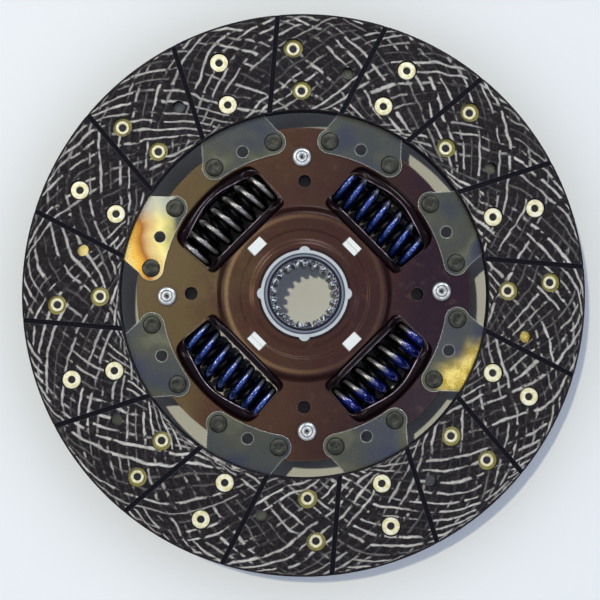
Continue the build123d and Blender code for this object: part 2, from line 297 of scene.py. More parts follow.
def metal(name, low, high, size=6.0, rough=(0.3, 0.5), metallic=1.0, grain=0.02):
    """Plain metal: two close colours in blotches, uneven gloss and a fine grain."""
    f = Finish(name, metallic=metallic)
    at = f.place()
    blotch = f.noise(at, size, 4, 0.6)
    fine = f.noise(at, 0.6, 3, 0.7)
    f.set(base_color=f.mix(blotch.step(0.3, 0.7), low, high))
    spread = rough[1] - rough[0]
    f.set(roughness=blotch * spread * 0.7 + fine * spread * 0.3 + rough[0])
    f.bump(fine, grain, 0.15)
    return f.mat


def bronze_finish(name, lip):
    """Bronzed, lightly oiled sheet: olive brown to purple brown and lighter to the left, partly painted
    light, with the drawn-up lips painted near black as painted shade.
    """
    specular, coat, glossiest, spread = (0.1, 0.12, 0.1, 0.1) if lip else (0.2, 0.08, 0.16, 0.24)
    f = Finish(name, metallic=0.3, specular_ior_level=specular, coat_weight=coat, coat_roughness=0.1)
    at = f.place()
    x, y, z = f.xyz(at)
    # the sheet's own tint runs from olive to purple; its lightness, which falls from left to right, is
    # painted light
    across = (x * 0.008 - y * 0.001 + 0.5) + (f.noise(at, 30, 3, 0.6) - 0.5) * 0.5
    colour = f.ramp(
        across,
        (0.1, rgb(98, 80, 50)),
        (0.3, rgb(80, 54, 36)),
        (0.65, rgb(62, 38, 31)),
        (0.95, rgb(42, 24, 36)),
    )
    fine = f.noise(at, 0.7, 3, 0.7)
    wear = f.noise(at, 5, 4, 0.7).step(0.55, 0.75)
    colour = f.mix(wear * 0.3, colour, rgb(120, 94, 78))
    if lip:
        # painted shade: where the sheet is drawn up into lips it is painted near black
        lip_shade = (z - FLANGE_MID).math("ABSOLUTE").step(9.32, 9.8)
        colour = f.mix(lip_shade, colour, f.mix(fine, rgb(6, 1, 4), rgb(26, 9, 13)))
        # painted highlight along the lips' edges
        colour = f.mix(f.edges(0.4) * (fine * 0.5 + 0.4), colour, rgb(176, 150, 146))
    else:
        r = length(x, y)
        stained = f.noise(at, 12, 4, 0.7).step(0.45, 0.7) * r.step(58, 40)
        colour = f.mix(stained * 0.5, colour, rgb(70, 34, 34))
        # painted shade: a near-black ring at the bore, where the plate meets the bush
        colour = f.mix(r.step(21.8, 21.2), colour, rgb(16, 10, 14))
        # painted shade on the dish's slope
        slope = r.step(DISH_OUT, 40.9) * r.step(37.4, 38.1)
        colour = f.mix(slope * 0.75, colour, rgb(34, 10, 10))
        colour = f.mix(r.step(40.0, 35.5) * 0.3, colour, rgb(58, 26, 20))
        # painted highlight along the top of the dish's slope, strongest on the left
        to_left = (x * -0.014 + 0.35).math("MAXIMUM", 0.15)
        shoulder_highlight = (r - 36.2).math("ABSOLUTE").step(1.5, 0.2) * to_left
        colour = f.mix(shoulder_highlight * (fine * 0.4 + 0.2), colour, rgb(190, 152, 108))
        # painted highlight along the plate's edges
        colour = f.mix(f.edges(0.4) * (fine * 0.6 + 0.3), colour, rgb(160, 136, 122))
    f.set(base_color=colour)
    f.set(roughness=f.noise(at, 9, 4, 0.6) * spread + glossiest)
    f.bump(fine, 0.03, 0.3)
    return f.mat


def cushion_finish():
    """Spring steel with heat tints in grey-green and brass at the rivets; one tab gold and one amber,
    partly their passivation's colour and partly painted reflection of the lamps.
    """
    f = Finish("passivated_steel", metallic=0.9)
    at = f.place()
    x, y, _ = f.xyz(at)
    tint = f.noise(at, 24, 2, 0.5)
    colour = f.ramp(
        tint,
        (0.3, rgb(74, 76, 92)),
        (0.42, rgb(84, 86, 84)),
        (0.52, rgb(92, 92, 78)),
        (0.6, rgb(112, 112, 92)),
        (0.68, rgb(84, 86, 92)),
        (0.78, rgb(70, 66, 84)),
    )
    soft = f.noise(at, 12, 1, 0.5) - 0.5
    # one tab gold and one amber: partly the passivation's colour, partly painted reflection of the lamps in
    # it
    drift = (x + y * 0.2 + 79.0) / 28.0 + soft * 0.35
    gold = f.ramp(
        drift,
        (0.0, rgb(246, 222, 140)),
        (0.2, rgb(240, 186, 78)),
        (0.36, rgb(172, 108, 48)),
        (0.46, rgb(216, 180, 120)),
        (0.64, rgb(252, 236, 150)),
        (0.85, rgb(186, 176, 112)),
    )
    left = (x + 58.0).step(0.0, -3.0) * (y - 26.0).math("ABSOLUTE").step(26.0, 22.0)
    top_lobe = y.step(33.0, 44.0) * 0.7
    colour = f.mix(left, colour, f.mix(top_lobe, gold, rgb(184, 192, 186)))
    right = (x * 0.6 - y * 0.8 + soft * 10.0).step(62.0, 72.0)
    right = right * x.step(58.0, 66.0) * (y + 14.0).step(0.0, -4.0)
    amber = f.mix(f.noise(at, 5, 3, 0.6).step(0.35, 0.65), rgb(196, 168, 70), rgb(250, 226, 130))
    colour = f.mix(right * y.step(-48.0, -44.0), colour, amber)
    fine = f.noise(at, 0.8, 3, 0.7)
    r = length(x, y)
    turn = y.math("ARCTAN2", x) * (180 / math.pi)
    near = None  # distance to the nearest facing rivet
    for rivet_r, rivet_turn in HEADS + TAILS:
        across = (turn - (rivet_turn - 22.5)).math("FLOORED_MODULO", 45.0) - 22.5
        across = across * (rivet_r * math.pi / 180)
        far = length(r - rivet_r, across)
        near = near.math("MINIMUM", far) if near else far
    brassy = near.step(6.0, 5.0)
    colour = f.mix(brassy, colour, f.mix(fine, rgb(130, 124, 62), rgb(206, 196, 116)))
    # painted shade: a dark disc where each facing rivet's hole would show
    colour = f.mix(near.step(2.3, 1.9), colour, rgb(34, 34, 40))
    f.set(metallic=brassy * -0.6 + 0.9)
    # painted highlight along the tabs' edges
    colour = f.mix(f.edges(0.7), colour, rgb(226, 224, 208))
    f.set(base_color=colour)
    f.set(roughness=f.noise(at, 12, 4, 0.6) * 0.14 + 0.2)
    f.bump(fine, 0.012, 0.15)
    return f.mat


def spring_finish(name, deep, bright, sparkle, axis, top_highlight=None, stain=None):
    """Hardened wire with a thin lacquer, with painted highlights in streaks along the outside of the coils.

    axis is the direction that the spring's own axis has in the frame, in degrees. tips colours a
    painted highlight on the upper flanks of the coils, and stain the outer side of the springs at the lower
    right.
    """
    f = Finish(name, metallic=0.7, coat_weight=0.5, coat_roughness=0.12)
    at = f.place()
    x, y, z = f.xyz(at)
    high = (z - FLANGE_MID).math("ABSOLUTE")
    streak = f.noise(at, 1.6, 4, 0.7, distort=0.4)
    normal = Sock(f.tree, f.node("ShaderNodeTexCoord").outputs["Normal"])
    lean_x, lean_y, _ = f.xyz(normal)
    axis = math.radians(axis)
    along = lean_x * math.cos(axis) + lean_y * math.sin(axis)
    # painted highlight along the crests of the coils
    crest_highlight = along.math("ABSOLUTE").step(0.62, 0.1) * high.step(3.0, 6.8)
    colour = f.mix((crest_highlight + (streak - 0.5) * 0.5).step(0.15, 1.0), deep, bright)
    if stain:
        outside = length(x, y).step(49, 54) * (x - y).step(50, 60)
        colour = f.mix(outside * high.step(4.0, 7.0), colour, stain)
    if top_highlight:
        # painted highlight on the coils' flanks that face up the frame
        top_glint = lean_y.step(0.15, 0.55) * along.math("ABSOLUTE").step(0.5, 0.1) * high.step(1.5, 4.5)
        colour = f.mix(top_glint * (streak * 0.6 + 0.4), colour, top_highlight)
    # painted glints: bright specks along the crests
    glints = f.noise(at, 0.9, 3, 0.8).step(0.58, 0.66) * crest_highlight
    colour = f.mix(glints * 0.8, colour, sparkle)
    f.set(base_color=colour)
    f.set(roughness=streak * 0.2 + 0.16)
    f.bump(f.noise(at, 0.5, 3, 0.7), 0.05)
    return f.mat


def hub_finish():
    """Machined steel at the barrel; beyond it the hub, with the flange between the plates, is painted near
    black as painted shade.
    """
    f = Finish("hub_steel", metallic=0.55)
    at = f.place()
    x, y, _ = f.xyz(at)
    r = length(x, y)
    teeth_r = 16.6  # within it the face is speckled, and a dark line runs along it
    turned = f.noise(r, 0.5, 2, 0.6)
    colour = f.mix(turned, rgb(150, 158, 180), rgb(200, 206, 222))
    speck = f.noise(at, 1.2, 3, 0.8).step(0.48, 0.64)
    teeth = f.mix(speck, rgb(38, 40, 54), rgb(236, 238, 244))
    colour = f.mix(r.step(teeth_r, 16.2), colour, teeth)
    # painted highlight along the hub's edges
    colour = f.mix(f.edges(0.3), colour, rgb(222, 224, 226))
    # painted shade: a dark line in the chamfer at the teeth
    colour = f.mix((r - teeth_r).math("ABSOLUTE").step(0.75, 0.5), colour, rgb(22, 22, 32))
    # painted shade: near black beyond the barrel's end face, in the gap at the bush and on the flange
    colour = f.mix(r.step(18.3, 18.5), colour, rgb(24, 20, 22))
    f.set(base_color=colour)
    f.set(roughness=f.noise(at, 4, 3, 0.6) * 0.2 + 0.25)
    f.bump(f.noise(at, 0.6, 3, 0.7), 0.02, 0.15)
    return f.mat


def pin_finish():
    """Bright steel stop pins, with painted shade in the dimple, in the ring left by the riveting tool and
    on the rounded rim.
    """
    f = Finish("bright_steel", metallic=0.6)
    at = f.place()
    x, y, _ = f.xyz(at)
    far, near = x.math("ABSOLUTE"), y.math("ABSOLUTE")
    off = far.math("MAXIMUM", near) - PIN_R
    d = length(off, far.math("MINIMUM", near))  # distance to the pin's own axis
    d = d + (f.noise(at, 1.2, 3, 0.6) - 0.5) * 0.3
    blotch = f.noise(at, 3, 4, 0.6).step(0.3, 0.7)
    colour = f.mix(blotch, rgb(186, 188, 186), rgb(238, 240, 238))
    # painted shade: dark in the dimple, in the ring groove and on the rounded rim
    colour = f.mix(d.step(1.1, 0.6), colour, rgb(40, 36, 36))
    colour = f.mix((d - 2.55).math("ABSOLUTE").step(0.4, 0.15) * 0.6, colour, rgb(80, 78, 76))
    colour = f.mix(d.step(3.9, 4.4) * 0.6, colour, rgb(90, 88, 86))
    f.set(base_color=colour)
    f.set(roughness=f.noise(at, 1.5, 3, 0.6) * 0.2 + 0.18)
    f.bump(f.noise(at, 0.6, 3, 0.7), 0.02, 0.15)
    return f.mat


def plastic(name, low, high):
    """Moulded plastic with some grime, and painted shade where the bush meets the hub."""
    f = Finish(name, specular_ior_level=0.5)
    at = f.place()
    colour = f.mix(f.noise(at, 4, 4, 0.6), low, high)
    dirt = f.noise(at, 1.6, 4, 0.75).step(0.6, 0.8)
    x, y, _ = f.xyz(at)
    # painted shade: a dark bluish ring at the bore, where the bush meets the hub
    colour = f.mix(length(x, y).step(19.1, 18.6), colour, rgb(40, 44, 62))
    f.set(base_color=f.mix(dirt * 0.35, colour, rgb(120, 110, 100)))
    f.set(roughness=f.noise(at, 3, 3) * 0.2 + 0.32)
    f.bump(f.noise(at, 0.7, 3, 0.7), 0.03, 0.15)
    return f.mat


YARN = facing_finish()
BRASS = metal("rivet_brass", rgb(226, 214, 150), rgb(252, 248, 226), 2, (0.26, 0.46), 0.25, 0.03)
STEEL = pin_finish()
HUB = hub_finish()
TAB_RIVET = metal("rivet_steel", rgb(40, 40, 34), rgb(76, 76, 66), 3, (0.3, 0.5), 0.7, 0.05)
WASHER = metal("washer_steel", rgb(120, 120, 120), rgb(160, 160, 158), 6, (0.3, 0.45))
PLATE = bronze_finish("bronzed_sheet", False)
LIP = bronze_finish("bronzed_lips", True)
# a light finish for the lips' opening edge: a painted highlight
LIP_HIGHLIGHT = metal("lip_highlight", rgb(90, 70, 80), rgb(180, 160, 176), 4, (0.3, 0.5), 0.5, 0.03)
CUSHION = cushion_finish()
BLUE = spring_finish(
    "spring_blue",
    deep=rgb(4, 10, 56),
    bright=rgb(24, 60, 138),
    sparkle=rgb(206, 222, 246),
    axis=QUARTERS[0] + 90,
    top_highlight=rgb(196, 202, 214),
)
BLACK = spring_finish(
    "spring_black",
    deep=rgb(8, 7, 9),
    bright=rgb(138, 134, 130),
    sparkle=rgb(244, 236, 226),
    axis=QUARTERS[1] - 90,
    stain=rgb(6, 26, 112),
)
INNER = metal("inner_spring_black", rgb(10, 9, 11), rgb(20, 18, 22), 3, (0.3, 0.5), 0.3)
WHITE = plastic("white_plastic", rgb(214, 218, 216), rgb(240, 242, 238))
BUSH = plastic("bush_plastic", rgb(158, 164, 168), rgb(206, 210, 212))


# ---------------------------------------------------------------- meshes


def closed_object(name, verts, faces):
    """One object from points in millimetres, with its normals outward."""
    me = bpy.data.meshes.new(name)
    me.from_pydata([Vector(v) * MM for v in verts], [], faces)
    bm = bmesh.new()
    bm.from_mesh(me)
    bmesh.ops.recalc_face_normals(bm, faces=bm.faces)
    bm.to_mesh(me)
    bm.free()
    obj = bpy.data.objects.new(name, me)
    bpy.context.collection.objects.link(obj)
    return obj


def piece(name, verts, faces, mat, body="disc", stands_for=(), slot=None, crease=32):
    """A new piece in its finish. One that is still to be cut has no body, and is dressed again."""
    obj = closed_object(name, verts, faces)
    dress(obj, mat, body, stands_for, crease)
    return obj


def dress(obj, mat, body, stands_for=(), crease=32):
    """Gives a mesh its material or materials, its smoothing and its place in the frame."""
    kept = [p.material_index for p in obj.data.polygons]
    obj.data.materials.clear()
    for one in mat if isinstance(mat, tuple) else (mat,):
        obj.data.materials.append(one)
    if isinstance(mat, tuple):
        obj.data.polygons.foreach_set("material_index", kept)
    obj.data.shade_smooth()
    obj.data.set_sharp_from_angle(angle=math.radians(crease))
    if body:
        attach(obj, body)
    if stands_for:
        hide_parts(*stands_for)


def circle(radius, steps):
    turns = (2 * math.pi * k / steps for k in range(steps))
    return [(radius * math.cos(a), radius * math.sin(a)) for a in turns]


def lathe(section, steps):
    """A closed section of (radius, height) points, turned about Z.

    Points with radius 0 become one point.
    """
    verts, faces, rows = [], [], []
    for r, z in section:
        if r < 1e-6:
            rows.append([len(verts)] * steps)
            verts.append((0, 0, z))
        else:
            rows.append([len(verts) + k for k in range(steps)])
            verts += [(x, y, z) for x, y in circle(r, steps)]
    for a, b in zip(rows, rows[1:] + rows[:1]):
        if a[0] == a[1] and b[0] == b[1]:
            continue
        for k in range(steps):
            j = (k + 1) % steps
            quad = [a[k], a[j], b[j], b[k]]
            faces.append(list(dict.fromkeys(quad)))
    return verts, faces


def put_copies(shape, moves):
    """One list of vertices and faces with a copy of the shape for each matrix."""
    verts, faces = [], []
    for m in moves:
        base = len(verts)
        verts += [m @ Vector(v) for v in shape[0]]
        faces += [[base + i for i in f] for f in shape[1]]
    return verts, faces


def at_polar(r, angle, z=0.0, flip=False):
    """Where a copy goes; flip turns it upside down as a mirror image."""
    m = Matrix.Rotation(math.radians(angle), 4, "Z") @ Matrix.Translation((r, 0, z))
    return m @ Matrix.Diagonal((1, 1, -1, 1)) if flip else m


def rounded(points, arcs=3):
    """The closed line with its corners rounded. Points are (x, y, radius), and 0 stays sharp."""
    out = []
    count = len(points)
    for k, (x, y, radius) in enumerate(points):
        here = Vector((x, y))
        if not radius:
            out.append((x, y))
            continue
        before = Vector(points[k - 1][:2]) - here
        after = Vector(points[(k + 1) % count][:2]) - here
        a, b = here + before.normalized() * radius, here + after.normalized() * radius
        for s in range(arcs + 1):
            t = s / arcs
            p = a * (1 - t) ** 2 + here * 2 * t * (1 - t) + b * t**2
            out.append((p.x, p.y))
    return out


# ---------------------------------------------------------------- facings and their rivets

GROOVES, GROOVE_HALF = 16, 1.2
GROOVE_OUT, GROOVE_IN = 4.45, 9.95  # where a groove crosses the facing's edges, in degrees
TURN_OVER = 10.45  # the rear facing is the front one turned over about this line


def cut(obj, *shapes):
    """Takes each shape out of a mesh and keeps the result as a plain mesh."""
    for verts, faces in shapes:
        tool = closed_object("cutter", verts, faces)
        mod = obj.modifiers.new("cut", "BOOLEAN")
        mod.object, mod.operation, mod.solver = tool, "DIFFERENCE", "EXACT"
        graph = bpy.context.evaluated_depsgraph_get()
        done = bpy.data.meshes.new_from_object(obj.evaluated_get(graph))
        obj.modifiers.clear()
        obj.data = done
        bpy.data.objects.remove(tool)


def bearing(degrees, r=1.0):
    a = math.radians(degrees)
    return Vector((r * math.cos(a), r * math.sin(a), 0))


def groove():
    """A box along one groove, longer than the facing is wide."""
    outer, inner = bearing(GROOVE_OUT, FACING_OUT), bearing(GROOVE_IN, FACING_IN)
    run, mid = outer - inner, (outer + inner) / 2
    along = run.normalized() * run.length * 0.65
    side = Vector((-run.y, run.x, 0)).normalized() * GROOVE_HALF
    box = []
    for z in (FACING_TOP - 1, FACING_TOP + 2):
        for s, t in ((-1, -1), (1, -1), (1, 1), (-1, 1)):
            box.append(mid + s * along + t * side + Vector((0, 0, z)))
    quads = [(0, 1, 2, 3), (4, 5, 6, 7), (0, 1, 5, 4), (1, 2, 6, 5), (2, 3, 7, 6), (3, 0, 4, 7)]
    return box, quads


def drill(radius, steps, head=None):
    """A round hole right through, with a wider one down to the rivet's seat if it has a head."""
    section = [(0, CUT_LOW), (radius, CUT_LOW)]
    if head:
        section += [(radius, HEAD_FLOOR), (head, HEAD_FLOOR)]
    return lathe(section + [(head or radius, CUT_HIGH), (0, CUT_HIGH)], steps)


def all_round(places):
    return [at_polar(r, a + turn) for r, a in places for turn in EIGHTHS]


def facing(name, node, flip):
    out, top = FACING_OUT - 0.02, FACING_TOP - 0.005  # keeps the looks inside the CAD box
    section = [(FACING_IN, FACING_LOW, 0.2), (out, FACING_LOW, 0.2), (out, top, 0.6), (FACING_IN, top, 0.3)]
    obj = piece(name, *lathe(rounded(section), 360), YARN, None)
    grooves = put_copies(groove(), [at_polar(0, 360 / GROOVES * k) for k in range(GROOVES)])
    heads = put_copies(drill(radius=2.5, steps=40, head=4.7), all_round(HEADS))
    tails = put_copies(drill(radius=4.5, steps=40), all_round(TAILS))
    locating = put_copies(drill(radius=2.8, steps=32), all_round([LOCATING]))
    cut(obj, grooves, heads, tails, locating)
    if flip:
        there, back = Matrix.Translation((0, 0, MID * MM)), Matrix.Translation((0, 0, -MID * MM))
        obj.data.transform(there @ Matrix.Rotation(math.pi, 4, bearing(TURN_OVER)) @ back)
    dress(obj, YARN, "disc", [node], 35)


def facing_rivet():
    """Hollow brass rivet: flange in the counterbore, tube, and the rolled tail under the sheet."""
    low = 27.35
    section = [
        (1.75, HEAD_FLOOR + 1.0, 0.3),
        (1.75, low + 0.3, 0.2),
        (2.2, low, 0.3),
        (3.25, low + 0.1, 0.35),
        (3.25, low + 0.65, 0.2),
        (2.35, low + 0.65, 0),
        (2.35, HEAD_FLOOR, 0),
        (4.2, HEAD_FLOOR, 0.15),
        (4.2, HEAD_FLOOR + 0.9, 0.25),
        (3.9, HEAD_FLOOR + 0.93, 0),
        (2.9, HEAD_FLOOR + 1.0, 0.4),
    ]
    return lathe(rounded(section), 48)


def facing_rivets():
    shape = facing_rivet()
    piece("facing_rivets_front", *put_copies(shape, all_round(HEADS)), BRASS)
    turned_over = [at_polar(r, a + turn, 2 * MID, True) for r, a in TAILS for turn in EIGHTHS]
    piece("facing_rivets_rear", *put_copies(shape, turned_over), BRASS)


facing("facing_front", "front_facing", False)
facing("facing_rear", "rear_facing", True)
facing_rivets()


# ---------------------------------------------------------------- tab rivets and stop pins


def tab_rivets():
    """Two rivets through each tab and the drive plate, with a dimple in the front head."""
    low = PLATE_IN - 1.15
    section = [
        (0, SHEET_TOP + 0.85, 0),
        (1.3, SHEET_TOP + 0.85, 0.3),
        (1.7, SHEET_TOP + 1.1, 0.4),
        (3.1, SHEET_TOP + 1.17, 0.8),
        (4.2, SHEET_TOP + 0.7, 0.5),
        (4.2, SHEET_TOP, 0),
        (2.6, SHEET_TOP, 0),
        (2.6, PLATE_IN, 0),
        (4.1, PLATE_IN, 0),
        (4.1, low + 0.5, 0.4),
        (3.2, low, 0.6),
        (0, low, 0),
    ]
    shape = lathe(rounded(section), 48)
    turns = [FIRST_TAB + turn + side * 12.0 for turn in EIGHTHS for side in (-1, 1)]
    sixteen = put_copies(shape, [at_polar(TAB_RIVET_R, turn) for turn in turns])
    piece("tab_rivets", *sixteen, TAB_RIVET, "disc", ["cushion_plate_rivets"], "rivet_steel")


def stop_pins():
    """Stepped pins, the same at both ends, with a dimple and a ring in each riveted head."""
    half = [
        (0, 10.2, 0),
        (0.95, 10.5, 0.2),
        (1.35, 11.5, 0.3),
        (2.3, 11.5, 0.25),
        (2.55, 11.1, 0.1),
        (2.8, 11.5, 0.15),
        (3.7, 11.45, 0.5),
        (4.45, 10.7, 0.3),
        (4.45, 9.8, 0),
        (3.4, 9.8, 0),
        (3.4, 7.0, 0),
        (5.5, 7.0, 0.3),
    ]
    section = half + [(r, -z, s) for r, z, s in reversed(half)]
    shape = lathe(rounded(section), 56)
    four = put_copies(shape, [at_polar(PIN_R, 90 * k, FLANGE_MID) for k in range(4)])
    piece("pins", *four, STEEL, "disc", ["stop_pins"], "bright_steel", 40)


tab_rivets()
stop_pins()


# ---------------------------------------------------------------- plates


def fall(r, outside, inside):
    """0 beyond outside, 1 within inside, smooth between."""
    t = min(max((outside - r) / (outside - inside), 0), 1)
    return t * t * (3 - 2 * t)


def plate_rise(r):
    """How far the pressed sheet stands above its rim: dish, step and collar."""
    dish = 1.5 * fall(r, DISH_OUT, DISH_IN)
    step, collar = 0.6 * fall(r, 30.5, 29.0), 0.8 * fall(r, 26.0, 23.0)
    return dish - step + collar


def prism(outline):
    """A cutting tool with this outline."""
    count = len(outline)
    verts = [(x, y, z) for z in (CUT_LOW, CUT_HIGH) for x, y in outline]
    faces = [list(range(count)), [count + k for k in range(count)]]
    faces += [[k, (k + 1) % count, count + (k + 1) % count, count + k] for k in range(count)]
    return verts, faces


def round_hole(x, radius):
    return prism([(x + dx, dy) for dx, dy in circle(radius, 32)])


def seat_at(x):
    """Half the width between a window's seats, which lean away from the hub."""
    return SEAT_HALF + (x - SPRING_AXIS) * SEAT_SLOPE


def mirrored(half):
    """The whole outline; points on the middle line are not doubled."""
    return half + [(x, -y, radius) for x, y, radius in reversed(half) if y]


def opening_line():
    """The inner edge of the lips, seen from above: leaning ends and a gabled top."""
    half = [(62.7, 0, 9.0), (55.3, seat_at(55.3), 2.4), (39.8, seat_at(39.8), 1.8)]
    return rounded(mirrored(half), 8)


def root_line():
    """Where the lips rise out of the sheet: an arc on the outside, and corners of 4.6 and 3.2."""
    root_r = 65.8
    turns = [(math.radians(a), 0) for a in range(0, 18, 3)] + [(math.radians(22.6), 4.6)]
    half = [(root_r * math.cos(a), root_r * math.sin(a), radius) for a, radius in turns]
    half.append((35.9, seat_at(35.9) + 1.4, 3.2))
    return rounded(mirrored(half), 8)


def reach(line, angle):
    """Distance from the middle of the window to the line, in that direction."""
    dx, dy = math.cos(angle), math.sin(angle)
    best = 0.0
    for (ax, ay), (bx, by) in zip(line, line[1:] + line[:1]):
        ax, bx = ax - SPRING_AXIS, bx - SPRING_AXIS
        side_a, side_b = dx * ay - dy * ax, dx * by - dy * bx
        if side_a * side_b <= 0 and side_a != side_b:
            t = side_a / (side_a - side_b)
            best = max(best, dx * (ax + t * (bx - ax)) + dy * (ay + t * (by - ay)))
    return best


def lip_high(angle):
    """How high the lip stands: 3.6 on the outside, 0.2 at the seats and 3.0 on the hub's side."""
    a = abs(math.degrees(angle) % 360 - 180)
    side = 180 - a
    return 0.2 + 3.4 * fall(side, 84, 62) + 2.8 * fall(-side, -112, -128)


# The lip's section: share of the way from root to opening, and share of its height.
CURL = [
    (0, -0.02),
    (0.04, 0.05),
    (0.09, 0.2),
    (0.15, 0.4),
    (0.24, 0.62),
    (0.36, 0.79),
    (0.52, 0.91),
    (0.75, 0.985),
    (0.93, 1.0),
    (1.0, 0.94),
]
LIP_STEPS, LIP_ROWS = 200, 2 * len(CURL)


def lip_strip():
    """The sheet drawn up all round one window, as a closed strip."""
    opening, root = opening_line(), root_line()
    verts = []
    for k in range(LIP_STEPS):
        angle = 2 * math.pi * k / LIP_STEPS
        near, out = reach(opening, angle), reach(root, angle)
        high = lip_high(angle)
        top, low = [], []
        for t, part in CURL:
            d = out + (near - out) * t
            x, y = SPRING_AXIS + d * math.cos(angle), d * math.sin(angle)
            base = plate_rise(math.hypot(x, y)) if t == 0 else base
            z = PLATE_OUT + base + (high - base) * part
            top.append((x, y, z))
            low.append((x, y, z - PLATE_SHEET + (0.04 if t == 0 else 0)))
        verts += top + low[::-1]
    faces = []
    for k in range(LIP_STEPS):
        here, there = k * LIP_ROWS, (k + 1) % LIP_STEPS * LIP_ROWS
        for m in range(LIP_ROWS):
            n = (m + 1) % LIP_ROWS
            faces.append([here + m, here + n, there + n, there + m])
    return verts, faces


# Radii at which the plates' section has a point, closer where the sheet bends.
SECTION_STOPS = [20.6, 21.5, 22.6, 23, 23.5, 24, 24.5, 25, 25.5, 26, 26.5, 28.5, 29, 29.3, 29.6]
SECTION_STOPS += [29.9, 30.2, 30.5, 31, 34, 37.2, 37.6, 38, 38.4, 38.8, 39.2, 39.6, 40, 40.4]
SECTION_STOPS += [40.8, 41.1, 41.4, 42, 50, 60]
WINDOW_SHARE = 0.985  # the cut stays inside the lips' root, so that the two overlap
LUG_NEAR, LUG_FAR, LUG_HALF = 28.7, 33.5, 4.2  # the openings for the friction washers' lugs


def turned(shape, angles):
    return put_copies(shape, [at_polar(0, a) for a in angles])


def side_plate(name, node, outer, front):
    """One dished plate with its lips; the rear one is the front one mirrored in the flange."""
    stops = SECTION_STOPS + [outer - 0.35]
    top = [(r, PLATE_OUT + plate_rise(r)) for r in stops] + [(outer, PLATE_OUT - 0.35)]
    low = [(r, PLATE_IN + plate_rise(r)) for r in stops] + [(outer, PLATE_IN + 0.3)]
    obj = piece(name, *lathe(top + low[::-1], 240), PLATE, None)
    share = WINDOW_SHARE
    window = prism([(SPRING_AXIS + (x - SPRING_AXIS) * share, y * share) for x, y in root_line()])
    side = LUG_HALF
    lug = prism([(LUG_NEAR, -side), (LUG_FAR, -side), (LUG_FAR, side), (LUG_NEAR, side)])
    between = [q - 45 for q in QUARTERS]
    cuts = [turned(window, QUARTERS), turned(lug, QUARTERS)]
    cuts += [turned(round_hole(19.3, 3.0), between), turned(round_hole(52.5, 3.05), between)]
    if front:
        cuts.append(turned(round_hole(TAB_RIVET_R, 2.65), [FIRST_TAB + turn for turn in EIGHTHS]))
    cut(obj, *cuts)
    lips = piece(name + "_lips", *turned(lip_strip(), QUARTERS), LIP, None)
    for p in lips.data.polygons:
        high = lip_high(2 * math.pi * (p.index // LIP_ROWS % LIP_STEPS) / LIP_STEPS)
        # the strip at the opening edge of the high lips takes the painted highlight finish
        last_strip = p.index % LIP_ROWS == len(CURL) - 2
        p.material_index = 1 if high > 2 and last_strip else 0
    if not front:
        over = Matrix.Translation((0, 0, 2 * FLANGE_MID * MM)) @ Matrix.Diagonal((1, 1, -1, 1))
        for one in (obj, lips):
            one.data.transform(over)
            one.data.flip_normals()
    dress(obj, PLATE, "disc", [node], 30)
    dress(lips, (LIP, LIP_HIGHLIGHT), "disc", (), 50)


side_plate("plate_front", "drive_plate", 77.6, True)
side_plate("plate_rear", "retaining_plate", 70.0, False)


# ---------------------------------------------------------------- springs


def helix(radius, wire, pitch, hand, steps_per_turn):
    """Points along Z with closed turns at both ends."""
    closed_turns = 0.8
    closed = closed_turns * (wire + 0.1)
    ends = wire / 10  # less than half the wire, so that the seats cut the end coils flat
    active = 2 * SEAT_HALF - 2 * closed - 2 * ends
    open_turns = round(4 * active / pitch) / 4
    turns = open_turns + 2 * closed_turns
    count = round(turns * steps_per_turn)
    out = []
    for k in range(count + 1):
        t = turns * k / count
        rise = closed / closed_turns * min(t, closed_turns)
        rise += active / open_turns * min(max(t - closed_turns, 0), open_turns)
        rise += closed / closed_turns * max(t - closed_turns - open_turns, 0)
        a = 2 * math.pi * t * hand
        out.append(Vector((radius * math.cos(a), radius * math.sin(a), ends + rise)))
    return out


def spring_shape(radius, wire, pitch, hand=1, sides=20, steps=40):
    """Round wire along the helix; what lies beyond the leaning seats is ground flat."""
    points = helix(radius, wire, pitch, hand, steps)
    verts, faces = [], []
    for k, p in enumerate(points):
        ahead = points[min(k + 1, len(points) - 1)] - points[max(k - 1, 0)]
        out = Vector((p.x, p.y, 0)).normalized()
        up = ahead.normalized().cross(out).normalized()
        for s in range(sides):
            a = 2 * math.pi * s / sides
            v = p + (out * math.cos(a) + up * math.sin(a)) * wire / 2
            x, y, z = SPRING_AXIS + v.x, SEAT_HALF - v.z, FLANGE_MID + v.y
            limit = seat_at(x) - 0.01
            verts.append((x, max(-limit, min(limit, y)), z))
    for k in range(len(points) - 1):
        for s in range(sides):
            t = (s + 1) % sides
            faces.append([k * sides + s, k * sides + t, (k + 1) * sides + t, (k + 1) * sides + s])
    last = (len(points) - 1) * sides
    faces += [list(range(sides)), [last + s for s in range(sides)]]
    return verts, faces


outer_coil = spring_shape(radius=7.9, wire=4.6, pitch=7.45)
inner_coil = spring_shape(radius=3.85, wire=3.0, pitch=3.6, hand=-1, sides=12, steps=28)
for k, angle in enumerate(QUARTERS, 1):
    slot_name, mat = ("spring_blue", BLUE) if k in (1, 3) else ("spring_black", BLACK)
    outer = put_copies(outer_coil, [at_polar(0, angle)])
    inner = put_copies(inner_coil, [at_polar(0, angle)])
    coils = [piece(f"spring_{k}", *outer, mat, "disc", [f"damper_spring_{k}"], slot_name, 60)]
    coils.append(piece(f"inner_spring_{k}", *inner, INNER, "disc", (), "spring_black", 60))
    for one in coils:
        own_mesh(one)


# ---------------------------------------------------------------- carried-over nodes

